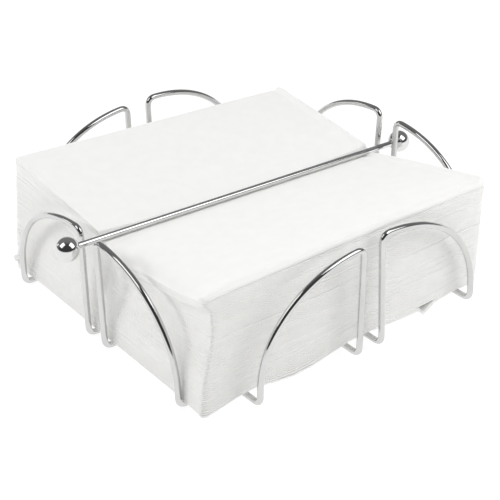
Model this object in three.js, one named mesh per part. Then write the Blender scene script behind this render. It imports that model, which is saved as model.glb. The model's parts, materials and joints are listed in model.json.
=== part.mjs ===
// Napkin dispenser: a square basket of bent chrome wire, a stack of folded paper napkins and a
// loose weight bar with a ball on each end. Millimetres. +X runs along the bar, +Y to the back
// and +Z up. The origin is on the table, under the middle of the object.
import * as THREE from 'three';

// Wire basket
const FRAME = 180; // between the centrelines of two opposite sides
const WIRE_D = 3;
const WIRE_SIDES = 8;
const GAP = 0.3; // between pieces that touch or are welded
const OUTER_LEG = 64.5; // from the middle of a side to its outer leg
const CENTRE_LEG = 6.8; // from the middle of a side to its centre leg, half the slot
const LOOP_TOP = 58.9; // centreline of a loop's top, over the table, on the lower wires
const ARC_FOOT = 9.2; // where the outer leg turns into the arc
const ARC_POWER = 2.13; // 2 is an ellipse, more is squarer
const BEND_R = 3.5;
const FOOT_END = 74; // from the middle to the end of a loop's foot, under the napkins
const LAYER = WIRE_D + GAP; // the wires along Y lie on the wires along X
const LEAN_DEG = { slight: 0.3, out: 1.2, in: -2.2, spread: 2.4, wide: 4.2 };

// Napkins, folded to a square, in bundles from the base up
const NAPKIN_X = 164;
const NAPKIN_Y = 157.5;
const STACK_BOTTOM = LAYER + WIRE_D + GAP;
const STACK_Y = -3.5;
const STACK_X = { low: -5.4, high: -0.8 }; // the stack leans a little along X
const STACK_TURN_DEG = { low: 0.6, high: 1.4 }; // and turns a little, clockwise from above
const BUNDLES = 10;
const CORNER_TOP = { frontLeft: 64.6, frontRight: 62, backLeft: 64.5, backRight: 53 };
const ROD_LANE = 3; // half the width pressed flat under the rod
const GROOVE_REACH = 5; // from the lane to the top of the groove's side
const GROOVE_SIDE = { front: 1, back: 3 }; // how high the groove's sides stand
const BULGE = 0.9; // 1 is straight from the groove to the edge, less is fuller
const LANE_STEPS = 6; // from the lane to an edge

// Weight bar
const BALL_D = 11.4;
const BALL_X = 101.2; // centre of each ball, along X
const BALL_LEFT_Z = 56.1;
const BALL_RIGHT_Z = 41.8;
const ROD_D = 3;
const ROD_PAST_CENTRE = 1; // the rod goes this far past the ball's centre

const chrome = new THREE.MeshStandardMaterial({ color: 0xd9dbde, metalness: 1, roughness: 0.08 });
const tissue = new THREE.MeshStandardMaterial({ color: 0xf3f2ef, metalness: 0, roughness: 0.9 });

function named(name, geometry, material) {
  const mesh = new THREE.Mesh(geometry, material);
  mesh.name = name;
  return mesh;
}

// A centreline through points that lie close in the bends and far apart on the straights.
class Centreline extends THREE.Curve {
  constructor(points) {
    super();
    this.points = points;
  }

  getUtoTmapping(u) {
    return u;
  }

  getPoint(t, target = new THREE.Vector3()) {
    const along = t * (this.points.length - 1);
    const i = Math.min(Math.floor(along), this.points.length - 2);
    return target.lerpVectors(this.points[i], this.points[i + 1], along - i);
  }
}

// A round bar as a polygon, with its flats on the true diameter and one of them facing down.
function roundSection(diameter, sides) {
  const section = new THREE.Shape();
  const radius = diameter / 2 / Math.cos(Math.PI / sides);
  for (let i = 0; i < sides; i++) {
    const angle = ((i + 0.5) * 2 * Math.PI) / sides;
    const place = [radius * Math.cos(angle), radius * Math.sin(angle)];
    if (i === 0) section.moveTo(...place);
    else section.lineTo(...place);
  }
  return section;
}

function wire(points) {
  return new THREE.ExtrudeGeometry(roundSection(WIRE_D, WIRE_SIDES), {
    steps: points.length - 1,
    bevelEnabled: false,
    extrudePath: new Centreline(points),
  });
}

// Points from place(0) to place(1), without the first one.
function sample(steps, place) {
  return Array.from({ length: steps }, (_, i) => place((i + 1) / steps));
}

// One quarter-round loop in its side's own frame: +X outwards, Y along the side, +Z up.
// It starts at the outer foot, climbs the arc, and comes down the centre leg to its own foot.
function loopPoints(half, layerZ, leanDeg) {
  const low = layerZ + WIRE_D / 2;
  const bendTop = low + BEND_R;
  const lean = Math.tan(THREE.MathUtils.degToRad(leanDeg));
  const at = (y, z) => new THREE.Vector3(FRAME / 2 + lean * (z - bendTop), half * y, z);
  const foot = (y, turn) => {
    const x = FRAME / 2 - BEND_R + BEND_R * Math.sin(turn);
    return new THREE.Vector3(x, half * y, bendTop - BEND_R * Math.cos(turn));
  };
  const quarter = Math.PI / 2;
  const arc = (share) => {
    const across = Math.cos(share * quarter) ** (2 / ARC_POWER);
    const up = Math.sin(share * quarter) ** (2 / ARC_POWER);
    const y = CENTRE_LEG + (OUTER_LEG - CENTRE_LEG) * across;
    return at(y, layerZ + ARC_FOOT + (LOOP_TOP - ARC_FOOT) * up);
  };
  const bend = (share) => {
    const y = CENTRE_LEG + BEND_R * (1 - Math.sin(share * quarter));
    return at(y, layerZ + LOOP_TOP - BEND_R * (1 - Math.cos(share * quarter)));
  };
  const arcEnd = 0.96; // the arc hands over to the top bend here
  return [
    new THREE.Vector3(FOOT_END, half * OUTER_LEG, low),
    foot(OUTER_LEG, 0),
    ...sample(4, (share) => foot(OUTER_LEG, share * quarter)),
    ...sample(15, (share) => arc(share * arcEnd)),
    ...sample(4, bend),
    at(CENTRE_LEG, bendTop),
    ...sample(4, (share) => foot(CENTRE_LEG, (1 - share) * quarter)),
    new THREE.Vector3(FOOT_END, half * CENTRE_LEG, low),
  ];
}

// The two loops of one side, turned to face outwards. The wires of the left and right sides
// lie on the table, and those of the front and back sides lie on them.
function side(name, turn, layerZ, loops) {
  const group = new THREE.Group();
  group.rotation.z = turn;
  for (const { end, half, lean } of loops) {
    group.add(named(`${name}_loop_${end}`, wire(loopPoints(half, layerZ, lean)), chrome));
  }
  return group;
}

// The straight stretches of the four closed wires, between the feet of their loops.
function baseWires(prefix, names, turn, layerZ) {
  const group = new THREE.Group();
  group.rotation.z = turn;
  const places = [-OUTER_LEG, -CENTRE_LEG, CENTRE_LEG, OUTER_LEG];
  places.forEach((y, i) => {
    const x = FOOT_END - GAP;
    const z = layerZ + WIRE_D / 2;
    const run = [new THREE.Vector3(-x, y, z), new THREE.Vector3(x, y, z)];
    group.add(named(`${prefix}_${names[i]}`, wire(run), chrome));
  });
  return group;
}

function basket() {
  const group = new THREE.Group();
  const { slight, out, spread, wide } = LEAN_DEG;
  group.add(
    side('left', Math.PI, 0, [
      { end: 'back', half: -1, lean: -slight },
      { end: 'front', half: 1, lean: slight },
    ]),
    side('right', 0, 0, [
      { end: 'front', half: -1, lean: spread },
      { end: 'back', half: 1, lean: wide },
    ]),
    side('front', -Math.PI / 2, LAYER, [
      { end: 'left', half: -1, lean: out },
      { end: 'right', half: 1, lean: LEAN_DEG.in },
    ]),
    side('back', Math.PI / 2, LAYER, [
      { end: 'right', half: -1, lean: out },
      { end: 'left', half: 1, lean: 0 },
    ]),
    baseWires('base_wire', ['front', 'mid_front', 'mid_back', 'back'], 0, 0),
    baseWires('cross_wire', ['right', 'mid_right', 'mid_left', 'left'], Math.PI / 2, LAYER),
  );
  return group;
}

// Height of the bar's centreline over the table.
function barHeight(x) {
  return THREE.MathUtils.mapLinear(x, -BALL_X, BALL_X, BALL_LEFT_Z, BALL_RIGHT_Z);
}

// Height of the stack's top: four corners of unlike height that fall towards the bar, which
// lies in a groove of its own.
function stackTop(x, y) {
  const half = y > 0 ? "back" : "front";
  const across = THREE.MathUtils.clamp((x - STACK_X.high) / NAPKIN_X + 0.5, 0, 1);
  const edgeZ = THREE.MathUtils.lerp(CORNER_TOP[`${half}Left`], CORNER_TOP[`${half}Right`], across);
  const pressed = barHeight(x) - ROD_D / 2 - 2 * GAP;
  const away = Math.max(0, Math.abs(y) - ROD_LANE);
  const share = Math.min(1, away / (NAPKIN_Y / 2 - ROD_LANE));
  const height = THREE.MathUtils.lerp(pressed + GROOVE_SIDE[half], edgeZ, share ** BULGE);
  return height - GROOVE_SIDE[half] * Math.max(0, 1 - away / GROOVE_REACH);
}

// The lines that a bundle bends on: close together at the bar, wider towards the edges.
function lineY(line) {
  const towards = Math.sign(line);
  const share = (Math.abs(line) - 0.5) / LANE_STEPS;
  const edge = NAPKIN_Y / 2 + towards * STACK_Y;
  return towards * THREE.MathUtils.lerp(ROD_LANE, edge, share ** 1.6);
}

// One bundle: a flat box whose upper and lower faces follow the stack at their level. Its
// outline turns with the stack, while the lines that it bends on stay along the bar.
function bundle(index) {
  const lines = 2 * LANE_STEPS + 1;
  const geometry = new THREE.BoxGeometry(NAPKIN_X, lines, 1, 4, lines, 1);
  const position = geometry.attributes.position;
  const share = (index + 0.5) / BUNDLES;
  const middle = THREE.MathUtils.lerp(STACK_X.low, STACK_X.high, share);
  const turnDeg = THREE.MathUtils.lerp(STACK_TURN_DEG.low, STACK_TURN_DEG.high, share);
  const turn = Math.tan(THREE.MathUtils.degToRad(turnDeg));
  for (let i = 0; i < position.count; i++) {
    const upper = position.getZ(i) > 0;
    const level = (index + (upper ? 1 : 0)) / BUNDLES;
    const line = lineY(position.getY(i));
    const x = middle + position.getX(i) + turn * line;
    const y = line - (turn * position.getX(i) * Math.abs(line)) / (NAPKIN_Y / 2);
    const height = level * (stackTop(x, y) - STACK_BOTTOM);
    position.setXYZ(i, x, y, STACK_BOTTOM + height - (upper ? GAP : 0));
  }
  geometry.computeVertexNormals();
  return geometry;
}

function napkins() {
  const group = new THREE.Group();
  for (let i = 0; i < BUNDLES; i++) {
    const name = `napkins_${String(i + 1).padStart(2, '0')}`;
    group.add(named(name, bundle(i), tissue));
  }
  return group;
}

// A ball with a blind hole for the rod, which points along -X from it.
function ball() {
  const hole = ROD_D / 2 + GAP;
  const radius = BALL_D / 2;
  const start = Math.asin(hole / radius);
  const outline = [
    new THREE.Vector2(0, ROD_PAST_CENTRE + GAP),
    new THREE.Vector2(hole, ROD_PAST_CENTRE + GAP),
  ];
  const steps = 12;
  for (let i = 0; i <= steps; i++) {
    const angle = THREE.MathUtils.lerp(start, Math.PI, i / steps);
    const across = i === steps ? 0 : radius * Math.sin(angle);
    outline.push(new THREE.Vector2(across, -radius * Math.cos(angle)));
  }
  const geometry = new THREE.LatheGeometry(outline, 20);
  geometry.rotateZ(-Math.PI / 2);
  return geometry;
}

function weightBar() {
  const group = new THREE.Group();
  group.position.z = barHeight(0);
  group.rotation.y = Math.atan2(BALL_LEFT_Z - BALL_RIGHT_Z, 2 * BALL_X);
  const reach = Math.hypot(BALL_X, (BALL_LEFT_Z - BALL_RIGHT_Z) / 2);
  const length = 2 * (reach + ROD_PAST_CENTRE);
  const rod = new THREE.CylinderGeometry(ROD_D / 2, ROD_D / 2, length, 16);
  rod.rotateZ(Math.PI / 2);
  const right = named('ball_right', ball(), chrome);
  right.position.x = reach;
  const left = named('ball_left', ball(), chrome);
  left.position.x = -reach;
  left.rotation.z = Math.PI;
  group.add(named('weight_rod', rod, chrome), right, left);
  return group;
}

const dispenser = new THREE.Group();
dispenser.add(basket(), napkins(), weightBar());
export default dispenser;
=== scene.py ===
"""A countertop napkin dispenser: four closed chrome wires bent into a basket, a stack of folded
paper napkins, and a loose weight bar with a ball on each end.

The named sizes are in millimetres and the meshes in metres. +X runs along the bar, +Y to the back
and +Z up, as in the frame."""

import json
import math

import bpy
import numpy as np
from mathutils import Matrix, Vector


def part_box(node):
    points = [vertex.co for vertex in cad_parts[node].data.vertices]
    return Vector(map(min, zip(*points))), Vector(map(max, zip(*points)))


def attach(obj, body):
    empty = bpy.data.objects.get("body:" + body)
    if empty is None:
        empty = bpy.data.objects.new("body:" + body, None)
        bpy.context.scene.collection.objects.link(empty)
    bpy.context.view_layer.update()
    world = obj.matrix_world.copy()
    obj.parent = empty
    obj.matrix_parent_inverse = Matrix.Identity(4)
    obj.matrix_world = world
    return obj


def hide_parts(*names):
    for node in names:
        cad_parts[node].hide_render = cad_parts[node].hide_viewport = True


MM = 0.001

# Wire basket: the shape of a loop, seen from outside its side of the basket
FRAME = 180  # between the centrelines of two opposite sides
LOOP_TOP = 58.9  # centreline of a loop's top over the table, on the lower wires
ARC_FOOT = 9.2  # where the outer leg turns into the arc
ARC_POWER = 2.13  # 2 is an ellipse, more is squarer
ARC_SHARE = 0.96  # how much of the arc there is before the bend into the centre leg
ARC_POINTS = 70
BEND_R = 3.5
BEND_POINTS = 9
LEAN_DEG = {"slight": 0.3, "out": 1.2, "in": -2.2, "spread": 2.4, "wide": 4.2}  # outwards
WIRE_STEP = 0.9  # between the rings of a wire's mesh
WIRE_SIDES = 20
WIRE_SOFTENING = 3  # passes
WELD_R = 2.1
WELD_HEIGHT = 0.9
WELD_ROUND = 0.8  # 1 is an ellipse, less is squarer
WELD_POINTS = 9
WELD_SIDES = 16

# Weight bar
ROD_EASE = 0.25  # the bevel on the rod's ends
ROD_POINTS = 60
ROD_SIDES = 24
BALL_POINTS = 40
BALL_SIDES = 48
HOLE_GAP = 0.15  # round the rod in a ball's hole
HOLE_FLOOR = 1.3  # from the ball's centre
HOLE_BEVEL = {"across": 0.2, "deep": 0.35}

# Napkins
PER_BUNDLE = 6
TOLERANCE = 0.01  # between corners that are the same one
CORNER_R = {"front_right": 6.0, "other": 1.5}
GRID_COLUMNS = 15
GRID_ROWS = 9  # from the bar to the front or the back
GRID_CROWDING = 1.8  # 1 is even, more is closer together at the bar
FLAP_LINES = (-4.5, -1.5, 1.5, 4.5)  # extra grid lines, from the flap's middle
GROOVE_LINES = (-0.35, 0.35)  # shares of half the width of the groove's floor
GROOVE_SIDE_LINES = (0.5, 1)  # shares of the reach of its back side
CORNER_LINES = (0, 0.09, 0.22, 0.43, 0.7)  # shares of the largest corner radius

# The stack's top
GROOVE_AIR = 0.15  # between the rod and the groove it lies in
GROOVE_HALF = 1.7  # half the width of the groove's floor
GROOVE_REACH = {"front": 3.0, "back": 1.3}  # from the floor to the top of the groove's side
GROOVE_SIDE = {"front": (1.0, 1.0), "back": (1.6, 3.8)}  # its height at the middle and at the ends
GROOVE_ENDS = 4  # 1 rises evenly to the ends, more rises late
GROOVE_ROUND = 1.5  # 1 is a straight side, more is rounded
BULGE = 0.92  # 1 is straight from the groove to the edge, less is fuller
DROOP = {"from_x": -60, "reach": 25, "depth": 3.6, "power": 2.4}  # of the front half's left edge
LIP = {"reach": 7, "depth": 2.2}  # how that edge then rolls over
NOTCH = {"y": -12, "half_y": 9, "depth": 2.4}  # where that edge droops further, beside the bar
DROOP_START = {"from_bar": 3, "reach": 6}
DROOP_END = {"past_front": 4, "reach": 16}

# The stack's underside
SAG = {"left_span": 3.1, "right_span": 0.9, "overhang": 2.3}  # of the lowest napkin
SAG_BEYOND = {"from_leg": 1.5, "reach": 20, "power": 1.2}  # how the overhang bends down
SAG_FADE = 9  # the higher it is, the sooner the napkins above lie straight
LIFT = 1.3  # of the lowest napkin's front and back edges over the feet of the loops
LIFT_HALF = {"outer": 11, "middle": 15}  # half the width that the feet hold up
LIFT_START = {"from_y": 55, "reach": 25}
FLAP = {"x": 42.5, "half_x": 3, "depth": 5.0}  # a loose bit of the lowest napkins' front edge
FLAP_START = {"from_y": 70, "reach": 10, "power": 1.5}
FLAP_NAPKINS = 2

# How unevenly the napkins lie
POKING = {4: 2.2, 5: 2.6}  # napkins whose back left corners stick out
RAGGED = 0.25  # how unevenly the back left corners lie
DROPPED = (0.03, 0.085)  # spread of the napkins' places, along X and Y
TWISTED = 0.0006  # spread of their turns, in radians
THICKNESS_SPREAD = 0.12
SPREAD_RIGHT = 3.2  # the lowest napkin lies flatter, so it reaches further than the highest
BACK_FAN = 1.2  # how far the back left corners fan out towards the base
BACK_FAN_START = {"from_y": 68, "reach": 8}
FRONT_FAN = (  # and the front left ones: level in the stack, how far out
    (0.1, 1.4), (0.3, 0.2), (0.43, -1.3), (0.55, -3.0), (0.72, -3.7), (0.88, -2.9), (0.94, 0.7),
)
FRONT_FAN_START = {"from_y": 67, "reach": 10}
EDGE_DEPTH = {"front": 0.36, "left": 0.05, "back": 0.1, "right": 0.36}
EDGE_FADE = (2.0, 0.8)  # how much of that depth there is, from the left end to the right one
EDGE_WAVE = {"front": 0.075, "left": 0.02, "back": 0.08, "right": 0.06}
WAVE_LENGTHS = (150, 80, 43, 24)
EDGE_PULL = 9  # 1 moves the whole napkin with its edge, more moves only its rim
EDGE_ROWS = 6  # across a napkin's edge
LEAF_SQUARE = 5  # of the open edges' profile: 2 is round, more is flatter
TOP_THICKNESS = (0.85, 0.85, 0.85, 0.85, 1.3, 2.6)  # the top napkins are pressed least
ROLL = (  # the top napkin's rolled fold: from the edge, spread, rise
    (1.3, 1.3, 1.15),
    (4.2, 1.0, -0.75),
)
AIR = 0.02  # left between two napkins
SEED = 7

# Materials: the chrome's tint and the tissue's run from dull to bright
WIRE_CHROME = {"roughness": 0.07, "tint": (0.61, 0.68)}
BAR_CHROME = {"roughness": 0.05, "tint": (0.72, 0.79)}
WARMTH = 0.005  # how much less blue the chrome reflects
WORN = (0.6, 1.5)  # shares of the chrome's roughness, where it is least and most worn
TISSUE_TINT = ((0.918, 0.914, 0.9), (0.94, 0.937, 0.925))

# Camera and studio
CAMERA_PLACE = Vector((-375.6, -481.8, 395.1)) * MM
CAMERA_AZIMUTH = -38.06
CAMERA_ELEVATION = 31.87
CAMERA_ROLL = -0.98
CAMERA_LENS = 104.7
SENSOR = 36
FLOOR_HALF = 9.0  # metres
FLOOR_HEIGHT = -0.0002  # metres, clear of the wires
# the floor's glow: dimmer under the stack as painted shade, full over the open floor
FLOOR_GLOW_WITH_PAINTED_SHADE = {"under": 0.25, "open": 0.8}
FLOOR_PAINTED_SHADE = (0.035, 0.068)  # metres from the middle where the floor under the stack, dimmed as painted shade, ends
ROOM_BRIGHTNESS = 1.0
ROOM_SIDE = (  # from the camera's side to the far one: place, brightness
    (0.0, 0.05), (0.35, 0.06), (0.6, 0.19), (1.0, 0.22),
)
SWEEP_HEIGHT = (0.07, 0.1)  # where the floor's white sweep ends on the walls
SOFTBOXES = {  # metres
    "softbox_left": {"place": (-0.5, 0.128, 0.603), "size": (0.42, 0.5), "watts": 0.95},
    "softbox_right": {"place": (0.24, -0.36, 0.5), "size": (0.42, 0.5), "watts": 1.32},
    "reflector": {"place": (-0.7, 1.09, 0.43), "size": (0.24, 0.24), "watts": 0.3},
}
HIDDEN_SOFTBOXES = {  # these light the napkins but don't show in the chrome
    "fill_left": {"place": (-0.8, 0.9, 0.34), "size": (0.24, 0.24), "watts": 2.6},
    "fill_right": {"place": (0.8, -0.99, 0.18), "size": (0.6, 0.5), "watts": 1.5},
    "ceiling": {"place": (0, 0, 1.3), "size": (3.0, 3.0), "watts": 21.4},
}


# ---- The frame -------------------------------------------------------------------------------

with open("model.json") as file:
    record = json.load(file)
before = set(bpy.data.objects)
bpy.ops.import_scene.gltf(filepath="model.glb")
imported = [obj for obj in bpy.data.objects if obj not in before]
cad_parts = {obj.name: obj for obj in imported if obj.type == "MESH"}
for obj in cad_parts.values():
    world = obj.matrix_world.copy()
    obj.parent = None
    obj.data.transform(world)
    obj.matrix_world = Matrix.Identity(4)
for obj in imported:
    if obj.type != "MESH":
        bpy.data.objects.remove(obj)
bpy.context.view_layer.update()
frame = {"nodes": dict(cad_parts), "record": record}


def middle(node):
    low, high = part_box(node)
    return (low + high) / 2 / MM


def extent(node):
    low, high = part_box(node)
    return (high - low) / MM


WIRE_D = extent("base_wire_front").z
LAYER_LOW = middle("base_wire_front").z  # centrelines of the wires along X
LAYER_HIGH = middle("cross_wire_left").z  # and of those along Y, which lie on them
OUTER_LEG = -middle("base_wire_front").y
CENTRE_LEG = -middle("base_wire_mid_front").y
BALLS = {end: middle(f"ball_{end}") for end in ("left", "right")}
BALL_D = extent("ball_left").y
ROD_D = extent("weight_rod").y
BUNDLES = [f"napkins_{i:02d}" for i in range(1, 11)]
STACK_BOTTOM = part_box(BUNDLES[0])[0].z / MM


# ---- Mesh helpers ----------------------------------------------------------------------------


def new_piece(name, vertices, faces, material, body, slot, *replaced):
    """A smooth mesh piece from vertices in millimetres, riding on a body of the frame."""
    mesh = bpy.data.meshes.new(name)
    mesh.from_pydata((np.asarray(vertices) * MM).tolist(), [], faces)
    mesh.validate()
    mesh.shade_smooth()
    mesh.materials.append(material)
    piece = bpy.data.objects.new(name, mesh)
    bpy.context.scene.collection.objects.link(piece)
    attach(piece, body)
    if replaced:
        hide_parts(*replaced)


def joined(parts):
    """One list of vertices and one of faces from several."""
    vertices = []
    faces = []
    start = 0
    for part_vertices, part_faces in parts:
        vertices.append(np.asarray(part_vertices))
        faces.extend([tuple(start + i for i in face) for face in part_faces])
        start += len(part_vertices)
    return np.vstack(vertices), faces


def ring_faces(rings, sides, closed):
    """Quads between rings of the same number of points."""
    faces = []
    for i in range(rings if closed else rings - 1):
        after = (i + 1) % rings
        for j in range(sides):
            k = (j + 1) % sides
            faces.append((i * sides + j, i * sides + k, after * sides + k, after * sides + j))
    return faces


def even_steps(points, step):
    """The same closed line with its points a constant step apart."""
    points = np.vstack([points, points[:1]])
    lengths = np.linalg.norm(np.diff(points, axis=0), axis=1)
    along = np.concatenate([[0], np.cumsum(lengths)])
    count = int(round(along[-1] / step))
    targets = np.linspace(0, along[-1], count, endpoint=False)
    return np.column_stack([np.interp(targets, along, points[:, k]) for k in range(3)])


def closed_tube(centre, radius, sides):
    """A round bar along a closed line, its section carried along without a twist at the end."""
    ahead = np.roll(centre, -1, 0) - np.roll(centre, 1, 0)
    ahead /= np.linalg.norm(ahead, axis=1)[:, None]
    guide = np.cross(ahead[0], (0.3, 0.2, 1.0))  # a direction that no wire starts along
    across = []
    for direction in np.vstack([ahead, ahead[:1]]):
        guide = guide - direction * guide.dot(direction)
        guide = guide / np.linalg.norm(guide)
        across.append(guide)
    off = math.atan2(np.cross(across[0], across[-1]).dot(ahead[0]), across[0].dot(across[-1]))
    rings = []
    for i, point in enumerate(centre):
        turns = np.linspace(0, 2 * math.pi, sides, endpoint=False) - off * i / len(centre)
        other = np.cross(ahead[i], across[i])
        section = np.outer(np.cos(turns), across[i]) + np.outer(np.sin(turns), other)
        rings.append(point + radius * section)
    return np.vstack(rings), ring_faces(len(centre), sides, True)


def lathe(outline, sides):
    """A closed solid of revolution about X from (along, radius) points that start and end on X."""
    vertices = [(outline[0][0], 0, 0)]
    for along, radius in outline[1:-1]:
        for turn in np.linspace(0, 2 * math.pi, sides, endpoint=False):
            vertices.append((along, radius * math.cos(turn), radius * math.sin(turn)))
    vertices.append((outline[-1][0], 0, 0))
    faces = [(0, 1 + j, 1 + (j + 1) % sides) for j in range(sides)]
    rings = len(outline) - 2
    faces += [tuple(1 + i for i in reversed(face)) for face in ring_faces(rings, sides, False)]
    last = len(vertices) - 1
    base = 1 + (rings - 1) * sides
    faces += [(last, base + (j + 1) % sides, base + j) for j in range(sides)]
    return np.array(vertices), faces


# ---- Materials -------------------------------------------------------------------------------


class Nodes:
    """A short way to build a material's node tree."""

    def __init__(self, name):
        self.material = bpy.data.materials.new(name)
        self.material.use_nodes = True
        self.tree = self.material.node_tree
        self.shader = self.tree.nodes["Principled BSDF"]

    def add(self, kind, **inputs):
        node = self.tree.nodes.new(kind)
        for key, value in inputs.items():
            node.inputs[key.replace("_", " ")].default_value = value
        return node

    def link(self, source, target):
        self.tree.links.new(source, target)

    def noise(self, scale, detail, stretch=(1, 1, 1)):
        """Noise over the piece's own coordinates, so it moves with the piece."""
        place = self.add("ShaderNodeTexCoord")
        mapping = self.add("ShaderNodeMapping", Scale=stretch)
        noise = self.add("ShaderNodeTexNoise", Scale=scale, Detail=detail)
        self.link(place.outputs["Object"], mapping.inputs["Vector"])
        self.link(mapping.outputs["Vector"], noise.inputs["Vector"])
        return noise.outputs["Fac"]

    def ramp(self, source, low, high, ends=(0.3, 0.7)):
        ramp = self.add("ShaderNodeValToRGB")
        for element, at, colour in zip(ramp.color_ramp.elements, ends, (low, high)):
            element.position = at
            element.color = (*colour, 1)
        self.link(source, ramp.inputs["Fac"])
        return ramp.outputs["Color"]

    def combine(self, operation, *sources):
        node = self.add("ShaderNodeMath")
        node.operation = operation
        for source, target in zip(sources, node.inputs):
            self.link(source, target)
        return node.outputs["Value"]

    def span(self, source, low, high, ends=(0, 1)):
        span = self.add("ShaderNodeMapRange")
        span.inputs["From Min"].default_value, span.inputs["From Max"].default_value = ends
        span.inputs["To Min"].default_value = low
        span.inputs["To Max"].default_value = high
        self.link(source, span.inputs["Value"])
        return span.outputs["Result"]

    def bump(self, source, distance, strength, under=None):
        bump = self.add("ShaderNodeBump", Distance=distance, Strength=strength)
        self.link(source, bump.inputs["Height"])
        if under is not None:
            self.link(under, bump.inputs["Normal"])
        return bump.outputs["Normal"]


def chrome_material(name, roughness, tint):
    """Bright nickel and chrome plate: nearly a mirror, with a faint haze and drawing marks."""
    nodes = Nodes(name)
    shader = nodes.shader
    shader.inputs["Metallic"].default_value = 1.0
    haze = nodes.noise(scale=60, detail=3)
    dull, bright = [(level, level, level - WARMTH) for level in tint]
    nodes.link(nodes.ramp(haze, dull, bright), shader.inputs["Base Color"])
    wear = nodes.noise(scale=220, detail=4)
    worn = nodes.span(wear, *(roughness * share for share in WORN))
    nodes.link(worn, shader.inputs["Roughness"])
    marks = nodes.noise(scale=900, detail=2)
    nodes.link(nodes.bump(marks, distance=0.00001, strength=0.25), shader.inputs["Normal"])
    return nodes.material


def tissue_material():
    """Soft white creped tissue, matt and slightly uneven in colour."""
    nodes = Nodes("napkin_tissue")
    shader = nodes.shader
    shader.inputs["Roughness"].default_value = 0.95
    shader.inputs["Specular IOR Level"].default_value = 0.15
    cloud = nodes.noise(scale=160, detail=5)
    nodes.link(nodes.ramp(cloud, *TISSUE_TINT), shader.inputs["Base Color"])
    crepe = nodes.noise(scale=700, detail=4, stretch=(0.6, 1.0, 1.3))
    fibres = nodes.noise(scale=4200, detail=2)
    fine = nodes.bump(fibres, distance=0.00005, strength=0.4)
    coarse = nodes.bump(crepe, distance=0.0002, strength=0.6, under=fine)
    nodes.link(coarse, shader.inputs["Normal"])
    return nodes.material


def floor_material():
    """A plain white floor that glows a little, and less so under the stack, where the dimmer glow
    is painted shade.
    """
    nodes = Nodes("studio_floor")
    shader = nodes.shader
    shader.inputs["Roughness"].default_value = 0.9
    shader.inputs["Specular IOR Level"].default_value = 0.1
    shader.inputs["Base Color"].default_value = (0.3, 0.3, 0.3, 1)
    shader.inputs["Emission Color"].default_value = (1, 1, 1, 1)
    place = nodes.add("ShaderNodeTexCoord")
    split = nodes.add("ShaderNodeSeparateXYZ")
    nodes.link(place.outputs["Object"], split.inputs["Vector"])
    away = [nodes.combine("ABSOLUTE", split.outputs[axis]) for axis in "XY"]
    farther = nodes.combine("MAXIMUM", *away)
    # the glow drops under the stack: painted shade
    glow_with_painted_shade = nodes.span(farther, FLOOR_GLOW_WITH_PAINTED_SHADE["under"], FLOOR_GLOW_WITH_PAINTED_SHADE["open"], FLOOR_PAINTED_SHADE)
    nodes.link(glow_with_painted_shade, shader.inputs["Emission Strength"])
    return nodes.material


# ---- Camera and studio -----------------------------------------------------------------------


def add_camera():
    azimuth = math.radians(CAMERA_AZIMUTH)
    elevation = math.radians(CAMERA_ELEVATION)
    back = Vector((
        math.sin(azimuth) * math.cos(elevation),
        -math.cos(azimuth) * math.cos(elevation),
        math.sin(elevation),
    ))
    level = Vector((0, 0, 1)).cross(back).normalized()
    upright = back.cross(level)
    turn = Matrix((level, upright, back)).transposed()
    roll = Matrix.Rotation(math.radians(CAMERA_ROLL), 3, "Z")
    data = bpy.data.cameras.new("camera")
    data.sensor_width = SENSOR
    data.lens = CAMERA_LENS
    data.clip_start = 0.01
    data.clip_end = 50
    camera = bpy.data.objects.new("camera", data)
    camera.matrix_world = Matrix.Translation(CAMERA_PLACE) @ (turn @ roll).to_4x4()
    bpy.context.scene.collection.objects.link(camera)
    bpy.context.scene.camera = camera


def add_floor():
    half = FLOOR_HALF
    mesh = bpy.data.meshes.new("studio_floor")
    corners = [(-half, -half, 0), (half, -half, 0), (half, half, 0), (-half, half, 0)]
    mesh.from_pydata(corners, [], [(0, 1, 2, 3)])
    mesh.materials.append(floor_material())
    floor = bpy.data.objects.new("studio_floor", mesh)
    floor.location.z = FLOOR_HEIGHT
    bpy.context.scene.collection.objects.link(floor)


def add_softbox(name, mirrored, place, size, watts):
    data = bpy.data.lights.new(name, "AREA")
    data.shape = "RECTANGLE"
    data.size, data.size_y = size
    data.energy = watts
    light = bpy.data.objects.new(name, data)
    light.location = place
    light.rotation_euler = Vector(place).to_track_quat("Z", "Y").to_euler()
    light.visible_glossy = mirrored
    bpy.context.scene.collection.objects.link(light)


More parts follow.
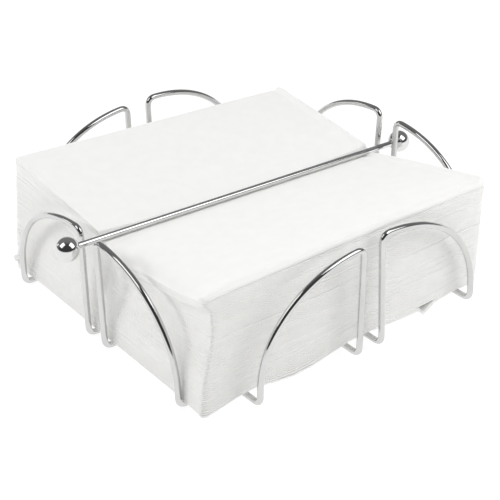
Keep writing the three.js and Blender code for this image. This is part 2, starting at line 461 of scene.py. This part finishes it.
def add_world():
    """The dim room that the chrome reflects, darkest behind the camera and white at its foot."""
    world = bpy.data.worlds.new("studio")
    world.use_nodes = True
    bpy.context.scene.world = world
    tree = world.node_tree
    azimuth = math.radians(CAMERA_AZIMUTH)
    place = tree.nodes.new("ShaderNodeTexCoord")
    dot = tree.nodes.new("ShaderNodeVectorMath")
    dot.operation = "DOT_PRODUCT"
    dot.inputs[1].default_value = (-math.sin(azimuth), math.cos(azimuth), 0)
    tree.links.new(place.outputs["Generated"], dot.inputs[0])
    half = tree.nodes.new("ShaderNodeMapRange")
    half.inputs["From Min"].default_value = -1
    tree.links.new(dot.outputs["Value"], half.inputs["Value"])
    ramp = tree.nodes.new("ShaderNodeValToRGB")
    elements = ramp.color_ramp.elements
    elements[0].position, elements[1].position = ROOM_SIDE[0][0], ROOM_SIDE[-1][0]
    for position, _ in ROOM_SIDE[1:-1]:
        elements.new(position)
    for element, (position, level) in zip(elements, ROOM_SIDE):
        element.color = (level, level, level, 1)
    tree.links.new(half.outputs["Result"], ramp.inputs["Fac"])
    split = tree.nodes.new("ShaderNodeSeparateXYZ")
    tree.links.new(place.outputs["Generated"], split.inputs["Vector"])
    sweep = tree.nodes.new("ShaderNodeMapRange")
    sweep.inputs["From Min"].default_value, sweep.inputs["From Max"].default_value = SWEEP_HEIGHT
    tree.links.new(split.outputs["Z"], sweep.inputs["Value"])
    colour = tree.nodes.new("ShaderNodeMix")
    colour.data_type = "RGBA"
    colour.inputs["A"].default_value = (1, 1, 1, 1)
    tree.links.new(sweep.outputs["Result"], colour.inputs["Factor"])
    tree.links.new(ramp.outputs["Color"], colour.inputs["B"])
    background = tree.nodes["Background"]
    tree.links.new(colour.outputs["Result"], background.inputs["Color"])
    background.inputs["Strength"].default_value = ROOM_BRIGHTNESS


def add_studio():
    add_camera()
    add_floor()
    add_world()
    for mirrored, softboxes in ((True, SOFTBOXES), (False, HIDDEN_SOFTBOXES)):
        for name, softbox in softboxes.items():
            add_softbox(name, mirrored, **softbox)
    bpy.context.scene.view_settings.view_transform = "Standard"


# ---- Wire basket -----------------------------------------------------------------------------


def loop_points(half, layer, lean_deg):
    """One quarter-round loop in its side's own frame: +X outwards, +Y along the side, +Z up.
    It starts in the foot bend of the outer leg and ends in the foot bend of the centre leg."""
    bend_top = layer + BEND_R
    lean = math.tan(math.radians(lean_deg))
    base = layer - WIRE_D / 2

    def at(y, z):
        return (FRAME / 2 + lean * (z - bend_top), half * y, z)

    def foot(y, turn):
        x = FRAME / 2 - BEND_R + BEND_R * math.sin(turn)
        return (x, half * y, bend_top - BEND_R * math.cos(turn))

    def arc(angle):
        across = math.cos(angle) ** (2 / ARC_POWER)
        up = math.sin(angle) ** (2 / ARC_POWER)
        y = CENTRE_LEG + (OUTER_LEG - CENTRE_LEG) * across
        return at(y, base + ARC_FOOT + (LOOP_TOP - ARC_FOOT) * up)

    def top_bend(angle):
        y = CENTRE_LEG + BEND_R * (1 - math.sin(angle))
        return at(y, base + LOOP_TOP - BEND_R * (1 - math.cos(angle)))

    quarter = math.pi / 2
    points = [foot(OUTER_LEG, turn) for turn in np.linspace(0, quarter, BEND_POINTS)]
    points += [arc(angle) for angle in np.linspace(0, quarter * ARC_SHARE, ARC_POINTS)]
    points += [top_bend(angle) for angle in np.linspace(0, quarter, BEND_POINTS)]
    points += [foot(CENTRE_LEG, turn) for turn in np.linspace(quarter, 0, BEND_POINTS)]
    return points


def turned(points, quarter_turns):
    """Points turned about Z by none to three quarter turns."""
    cos, sin = ((1, 0), (0, 1), (-1, 0), (0, -1))[quarter_turns]
    return [(cos * x - sin * y, sin * x + cos * y, z) for x, y, z in points]


def softened(points, passes):
    """A closed line with its last small corners eased out."""
    for _ in range(passes):
        points = points * 0.5 + (np.roll(points, 1, 0) + np.roll(points, -1, 0)) * 0.25
    return points


def add_basket(chrome):
    """Each closed wire is two loops, at opposite sides, and the two straight runs between them.
    A loop is given as which half of its side it is on, its lean and its quarter turns about Z."""
    slight, out, inward = LEAN_DEG["slight"], LEAN_DEG["out"], LEAN_DEG["in"]
    spread, wide = LEAN_DEG["spread"], LEAN_DEG["wide"]
    wires = {
        "wire_front": (LAYER_LOW, (1, slight, 2), (-1, spread, 0)),
        "wire_back": (LAYER_LOW, (-1, -slight, 2), (1, wide, 0)),
        "wire_left": (LAYER_HIGH, (-1, out, 3), (1, 0, 1)),
        "wire_right": (LAYER_HIGH, (1, inward, 3), (-1, out, 1)),
    }
    replaced = {
        "wire_front": (
            "left_loop_front", "right_loop_front", "base_wire_front", "base_wire_mid_front",
        ),
        "wire_back": (
            "left_loop_back", "right_loop_back", "base_wire_back", "base_wire_mid_back",
        ),
        "wire_left": (
            "front_loop_left", "back_loop_left", "cross_wire_left", "cross_wire_mid_left",
        ),
        "wire_right": (
            "front_loop_right", "back_loop_right", "cross_wire_right", "cross_wire_mid_right",
        ),
    }
    for name, (layer, *loops) in wires.items():
        first, second = [
            turned(loop_points(half, layer, lean), turns) for half, lean, turns in loops
        ]
        centre = even_steps(np.array(first + second[::-1]), WIRE_STEP)
        centre = softened(centre, WIRE_SOFTENING)
        vertices, faces = closed_tube(centre, WIRE_D / 2, WIRE_SIDES)
        new_piece(name, vertices, faces, chrome, "frame", "basket_wire", *replaced[name])


def add_welds(chrome):
    """A flat bead of melted wire at each of the sixteen crossings of the base."""
    angles = np.linspace(0, math.pi, WELD_POINTS)
    outline = [(WELD_HEIGHT * -math.cos(a), WELD_R * math.sin(a) ** WELD_ROUND) for a in angles]
    bead, faces = lathe(outline, WELD_SIDES)
    bead = bead[:, [2, 1, 0]]
    height = (LAYER_LOW + LAYER_HIGH) / 2
    places = [OUTER_LEG, CENTRE_LEG, -CENTRE_LEG, -OUTER_LEG]
    beads = [(bead + (x, y, height), faces) for x in places for y in places]
    vertices, faces = joined(beads)
    new_piece("weld_beads", vertices, faces, chrome, "frame", "basket_wire")


# ---- Weight bar ------------------------------------------------------------------------------


def bar_height(x):
    """Height of the bar's centreline over the table."""
    left, right = BALLS["left"], BALLS["right"]
    return left.z + (x - left.x) * (right.z - left.z) / (right.x - left.x)


def add_weight_bar(chrome):
    tilt = math.atan2(BALLS["left"].z - BALLS["right"].z, BALLS["right"].x - BALLS["left"].x)
    reach = (BALLS["right"] - BALLS["left"]).length / 2
    place = Matrix.Translation((0, 0, bar_height(0))) @ Matrix.Rotation(tilt, 4, "Y")

    def placed(vertices):
        return [tuple(place @ Vector(v)) for v in vertices]

    length = extent("weight_rod").x / math.cos(tilt) / 2 - ROD_D / 2 * math.tan(tilt)
    outline = [(-length, 0), (-length, ROD_D / 2 - ROD_EASE)]
    for along in np.linspace(-length + ROD_EASE, length - ROD_EASE, ROD_POINTS):
        outline.append((along, ROD_D / 2))
    outline += [(length, ROD_D / 2 - ROD_EASE), (length, 0)]
    vertices, faces = lathe(outline, ROD_SIDES)
    slot = "weight_bar"
    new_piece("bar_rod", placed(vertices), faces, chrome, "weight_bar", slot, "weight_rod")

    radius = BALL_D / 2
    hole = ROD_D / 2 + HOLE_GAP
    start = math.asin((hole + HOLE_BEVEL["across"]) / radius)
    mouth = -radius * math.cos(start) + HOLE_BEVEL["deep"]
    profile = [(HOLE_FLOOR, 0), (HOLE_FLOOR, hole), (mouth, hole)]
    for angle in np.linspace(start, math.pi, BALL_POINTS):
        profile.append((-radius * math.cos(angle), radius * math.sin(angle)))
    profile[-1] = (radius, 0)
    for end, way in (("left", -1), ("right", 1)):
        vertices, faces = lathe(profile, BALL_SIDES)
        vertices = placed(vertices * (way, way, 1) + (way * reach, 0, 0))
        new_piece(f"bar_ball_{end}", vertices, faces, chrome, "weight_bar", slot, f"ball_{end}")


# ---- Napkins ---------------------------------------------------------------------------------


def bundle_corners(node):
    """The four corners of a bundle in the frame, with the height of its upper face there."""
    points = np.array([v.co for v in frame["nodes"][node].data.vertices]) / MM
    away = points[:, :2] - (points.min(0) + points.max(0))[:2] / 2
    corners = {}
    for side_x in (-1, 1):
        for side_y in (-1, 1):
            reach = away @ (side_x, side_y)
            near = points[reach > reach.max() - TOLERANCE]
            corners[side_x, side_y] = (near[0, 0], near[0, 1], near[:, 2].max())
    return corners


def bundle_outline(corners):
    """Middle, sides and turn of a bundle from its corners: (x, y), (along X, along Y), slope."""
    place = np.array([corners[key][:2] for key in ((-1, -1), (1, -1), (-1, 1), (1, 1))])
    middle_xy = place.mean(0)
    long_x = (place[1, 0] + place[3, 0] - place[0, 0] - place[2, 0]) / 2
    long_y = (place[2, 1] + place[3, 1] - place[0, 1] - place[1, 1]) / 2
    turn = (place[2, 0] + place[3, 0] - place[0, 0] - place[1, 0]) / 2 / long_y
    return middle_xy, (long_x, long_y), turn


class Stack:
    """The shape that all the napkins share, worked out from the lowest and the highest bundle."""

    def __init__(self):
        low, high = bundle_corners(BUNDLES[0]), bundle_corners(BUNDLES[-1])
        self.low_middle, _, self.low_turn = bundle_outline(low)
        self.high_middle, (self.size_x, self.size_y), self.high_turn = bundle_outline(high)
        self.heights = [high[key][2] for key in ((-1, -1), (1, -1), (-1, 1), (1, 1))]
        self.xs, self.ys = self.grid_lines()

    def middle(self, level):
        return self.low_middle + (self.high_middle - self.low_middle) * level

    def turn(self, level):
        return self.low_turn + (self.high_turn - self.low_turn) * level

    def grid_lines(self):
        """Lines across X, close together at the flap, and across Y, close together at the bar."""
        corner = CORNER_R["front_right"]
        half_x = self.size_x / 2
        across = np.linspace(-half_x + corner, half_x - corner, GRID_COLUMNS)
        across = np.concatenate([across, FLAP["x"] + np.array(FLAP_LINES)])
        xs = with_corner_lines(-half_x, half_x, np.sort(across))
        low = self.high_middle[1] - self.size_y / 2
        high = self.high_middle[1] + self.size_y / 2
        shares = np.linspace(0, 1, GRID_ROWS) ** GRID_CROWDING
        front = -GROOVE_HALF - (-low - corner - GROOVE_HALF) * shares[::-1]
        back = GROOVE_HALF + (high - corner - GROOVE_HALF) * shares
        floor = np.array(GROOVE_LINES) * GROOVE_HALF
        steep = GROOVE_HALF + np.array(GROOVE_SIDE_LINES) * GROOVE_REACH["back"]
        inner = np.concatenate([front, floor, back, steep])
        ys = with_corner_lines(low, high, np.sort(inner))
        return xs, ys - self.high_middle[1]

    def top(self, x, y):
        """Height of the top: on each side of the bar it runs nearly straight to two corners."""
        across = np.clip((x - self.high_middle[0]) / self.size_x + 0.5, 0, 1)
        front_left, front_right, back_left, back_right = self.heights
        front_edge = front_left + (front_right - front_left) * across
        back_edge = back_left + (back_right - back_left) * across
        ends = np.abs(2 * across - 1) ** GROOVE_ENDS
        sides = {key: mid + (end - mid) * ends for key, (mid, end) in GROOVE_SIDE.items()}
        edge = np.where(y > 0, back_edge, front_edge)
        side = np.where(y > 0, sides["back"], sides["front"])
        reach = np.where(y > 0, GROOVE_REACH["back"], GROOVE_REACH["front"])
        pressed = bar_height(x) - ROD_D / 2 - GROOVE_AIR
        away = np.maximum(0, np.abs(y) - GROOVE_HALF)
        share = np.clip(away / (self.size_y / 2 - GROOVE_HALF), 0, 1) ** BULGE
        height = pressed + side + (edge - pressed - side) * share
        height = height - side * np.maximum(0, 1 - away / reach) ** GROOVE_ROUND
        out = np.clip((DROOP["from_x"] - x) / DROOP["reach"], 0, 1) ** DROOP["power"]
        notch = NOTCH["depth"] * np.exp(-((y - NOTCH["y"]) / NOTCH["half_y"]) ** 2)
        start = np.clip((-y - DROOP_START["from_bar"]) / DROOP_START["reach"], 0, 1)
        past_front = self.size_y / 2 + DROOP_END["past_front"]
        in_front = start * np.clip((past_front + y) / DROOP_END["reach"], 0, 1)
        over_lip = LIP["reach"] - (x - self.high_middle[0]) - self.size_x / 2
        lip = np.clip(over_lip / LIP["reach"], 0, 1) ** 2
        return height - in_front * (out * (DROOP["depth"] + notch) + lip * LIP["depth"])

    def rest(self, x, y):
        """Height of the underside where it lies on the cross wires and on the loops' feet."""
        half = LIFT_HALF["outer"]
        feet = sum(np.exp(-((x - place) / half) ** 2) for place in (-OUTER_LEG, OUTER_LEG))
        feet = feet + np.exp(-(x / LIFT_HALF["middle"]) ** 4)
        edge = np.clip((np.abs(y) - LIFT_START["from_y"]) / LIFT_START["reach"], 0, 1) ** 2
        return STACK_BOTTOM + LIFT * feet * edge

    def sag(self, x):
        """How far the lowest napkin hangs down between and beyond the cross wires."""
        between = np.clip((np.abs(x) - CENTRE_LEG) / (OUTER_LEG - CENTRE_LEG), 0, 1)
        depth = np.where(x < 0, SAG["left_span"], SAG["right_span"])
        past_leg = np.abs(x) - OUTER_LEG - SAG_BEYOND["from_leg"]
        beyond = np.clip(past_leg / SAG_BEYOND["reach"], 0, 1) ** SAG_BEYOND["power"]
        return depth * np.sin(math.pi * between) ** 2 + SAG["overhang"] * beyond


def with_corner_lines(low, high, inner):
    """Grid lines from low to high that close up in the rounded corners."""
    corner = np.array(CORNER_LINES) * CORNER_R["front_right"]
    return np.concatenate([low + corner, inner, (high - corner)[::-1]])


def wave(along, rng, size):
    """A slow random wave along an edge."""
    total = 0
    for length in WAVE_LENGTHS:
        phase = along / length + rng.uniform()
        total = total + rng.normal(0, 1) * length / WAVE_LENGTHS[0] * np.sin(2 * math.pi * phase)
    return size * total


def thicknesses(rng):
    """Shares of a bundle's height, from its lowest napkin to its highest."""
    shares = 1 + rng.normal(0, THICKNESS_SPREAD, PER_BUNDLE)
    return shares / shares.sum()


def round_off(x, y, half_x, half_y):
    """Rounds a rectangle's corners. Returns the new places and which way each edge faces."""
    radius = np.where((x > 0) & (y < 0), CORNER_R["front_right"], CORNER_R["other"])
    over_x = np.abs(x) - (half_x - radius)
    over_y = np.abs(y) - (half_y - radius)
    in_corner = (over_x > 0) & (over_y > 0)
    square = np.maximum(over_x, over_y)
    away = np.hypot(over_x, over_y) + 1e-9
    on_end = over_x > over_y
    face_x = np.sign(x) * np.where(in_corner, over_x / away, on_end)
    face_y = np.sign(y) * np.where(in_corner, over_y / away, ~on_end)
    new_x = np.where(in_corner, np.sign(x) * (half_x - radius + over_x / away * square), x)
    new_y = np.where(in_corner, np.sign(y) * (half_y - radius + over_y / away * square), y)
    return new_x, new_y, face_x, face_y


def edge_profile(side, t):
    """How far an edge stands out at a share t of a napkin's thickness: a round fold at the front
    and right, and nearly flush open leaves at the left and back."""
    if side in ("front", "right"):
        return math.sqrt(1 - (2 * t - 1) ** 2)
    return 1 - abs(2 * t - 1) ** LEAF_SQUARE


def uneven_edges(stack, index, level, depth, x, y, rng):
    """Lets each edge run unevenly, and the corners at the left fan out towards the base."""
    waves = {}
    for side, size in EDGE_WAVE.items():
        waves[side] = wave(y if side in ("left", "right") else x, rng, size)
    near_x = np.clip(np.abs(x) / (stack.size_x / 2), 0, 1) ** EDGE_PULL
    near_y = np.clip(np.abs(y) / (stack.size_y / 2), 0, 1) ** EDGE_PULL
    fan = BACK_FAN * (1 - level) + rng.uniform(-RAGGED, RAGGED) + POKING.get(index, 0)
    fan = fan * np.clip((y - BACK_FAN_START["from_y"]) / BACK_FAN_START["reach"], 0, 1) ** 2
    front_fan = np.interp(level, *zip(*FRONT_FAN))
    at_corner = np.clip((-y - FRONT_FAN_START["from_y"]) / FRONT_FAN_START["reach"], 0, 1)
    along_side = np.clip(0.5 - y / stack.size_y, 0, 1)
    fan = fan + max(0, front_fan) * at_corner + min(0, front_fan) * along_side
    spread = SPREAD_RIGHT * (1 - level)
    out = {side: waves[side] - depth[side] for side in waves}
    out_x = np.where(x > 0, out["right"] + spread, out["left"] + fan)
    out_y = np.where(y > 0, out["back"], out["front"])
    return x + np.sign(x) * near_x * out_x, y + np.sign(y) * near_y * out_y


def dropped(stack, level, x, y, rng):
    """Moves a napkin to where it was dropped, with its grid still along the bar."""
    turn = stack.turn(level) + rng.normal(0, TWISTED)
    middle_x, middle_y = stack.middle(level) + rng.normal(0, 1, 2) * DROPPED
    turned_y = y + middle_y - turn * x * np.abs(y) / (stack.size_y / 2)
    return x + middle_x + turn * y, turned_y


def face_heights(stack, index, low_level, high_level, x, y):
    """Heights of a napkin's under and upper faces as it lies in the stack."""
    rest = stack.rest(x, y)
    height = stack.top(x, y) - rest
    sag = stack.sag(x) * (1 - low_level) ** SAG_FADE
    if index < FLAP_NAPKINS:
        flap = np.exp(-((x - FLAP["x"]) / FLAP["half_x"]) ** 2)
        at_front = np.clip((-y - FLAP_START["from_y"]) / FLAP_START["reach"], 0, 1)
        sag = sag + FLAP["depth"] * flap * at_front ** FLAP_START["power"]
    low = rest + height * low_level - sag + AIR / 2
    high = rest + height * high_level - sag - AIR / 2
    if index == PER_BUNDLE * len(BUNDLES) - 1:
        from_front = y - y.min(axis=1, keepdims=True)
        from_fold = np.minimum(from_front, x.max(axis=0, keepdims=True) - x)
        for place, spread, rise in ROLL:
            high = high + rise * np.exp(-((from_fold - place) / spread) ** 2)
    return low, high


def edge_bulges(stack, x, face_x, face_y, depth):
    """For each row of an edge: its share of the thickness, and how far its points stand out."""
    out_to = {"left": -face_x, "right": face_x, "front": -face_y, "back": face_y}
    share_of = {side: np.clip(facing, 0, 1) ** 2 for side, facing in out_to.items()}
    facing = np.column_stack([face_x, face_y, np.zeros(len(x))])
    fade = np.interp(x, (-stack.size_x / 2, stack.size_x / 2), EDGE_FADE)
    for row in range(EDGE_ROWS):
        t = (row + 0.5) / EDGE_ROWS
        bulge = sum(share_of[side] * depth[side] * edge_profile(side, t) for side in depth)
        yield t, facing * (fade * bulge)[:, None]


def napkin(stack, index, low_level, high_level):
    """One folded napkin: its two faces on the stack's levels, joined by its edge."""
    rng = np.random.default_rng(SEED * 1000 + index)
    level = (low_level + high_level) / 2
    thick = (high_level - low_level) * len(BUNDLES) * PER_BUNDLE
    depth = {side: EDGE_DEPTH[side] * thick for side in EDGE_DEPTH}
    x, y = np.meshgrid(stack.xs, stack.ys, indexing="ij")
    x, y, face_x, face_y = round_off(x, y, stack.size_x / 2, stack.size_y / 2)
    x, y = uneven_edges(stack, index, level, depth, x, y, rng)
    x, y = dropped(stack, level, x, y, rng)
    low, high = face_heights(stack, index, low_level, high_level, x, y)

    columns, rows = x.shape
    number = np.arange(columns * rows).reshape(columns, rows)
    lower = np.column_stack([x.ravel(), y.ravel(), low.ravel()])
    upper = np.column_stack([x.ravel(), y.ravel(), high.ravel()])
    a, b, c, d = number[:-1, :-1], number[1:, :-1], number[1:, 1:], number[:-1, 1:]
    under = np.stack([a, d, c, b], -1).reshape(-1, 4)
    over = np.stack([a, b, c, d], -1).reshape(-1, 4) + columns * rows

    # The edge, row by row, from the under face to the upper one
    rim = np.concatenate([number[:-1, 0], number[-1, :-1], number[:0:-1, -1], number[0, :0:-1]])
    on_rim = [values.ravel()[rim] for values in (x, face_x, face_y)]
    edge_rows = []
    for t, bulge in edge_bulges(stack, *on_rim, depth):
        edge_rows.append(lower[rim] * (1 - t) + upper[rim] * t + bulge)
    first = 2 * columns * rows
    rings = [rim] + [first + row * len(rim) + np.arange(len(rim)) for row in range(EDGE_ROWS)]
    rings.append(rim + columns * rows)
    faces = [under, over]
    for one, two in zip(rings[:-1], rings[1:]):
        faces.append(np.stack([one, np.roll(one, -1), np.roll(two, -1), two], -1))
    return np.vstack([lower, upper] + edge_rows), np.vstack(faces).tolist()


def add_napkins(tissue):
    stack = Stack()
    bodies = frame["record"]["behaviour"]["bodies"]
    rng = np.random.default_rng(SEED)
    for i, node in enumerate(BUNDLES):
        shares = thicknesses(rng)
        if i == len(BUNDLES) - 1:
            shares = np.array(TOP_THICKNESS) / sum(TOP_THICKNESS)
        levels = (i + np.concatenate([[0], np.cumsum(shares)])) / len(BUNDLES)
        members = []
        for j in range(PER_BUNDLE):
            members.append(napkin(stack, PER_BUNDLE * i + j, levels[j], levels[j + 1]))
        vertices, faces = joined(members)
        body = next(body for body, names in bodies.items() if node in names)
        new_piece(f"folded_{node}", vertices, faces, tissue, body, "napkin", node)


# ---- Assembly --------------------------------------------------------------------------------

add_studio()
wire_chrome = chrome_material("wire_chrome", **WIRE_CHROME)
bar_chrome = chrome_material("bar_chrome", **BAR_CHROME)
add_basket(wire_chrome)
add_welds(wire_chrome)
add_weight_bar(bar_chrome)
add_napkins(tissue_material())
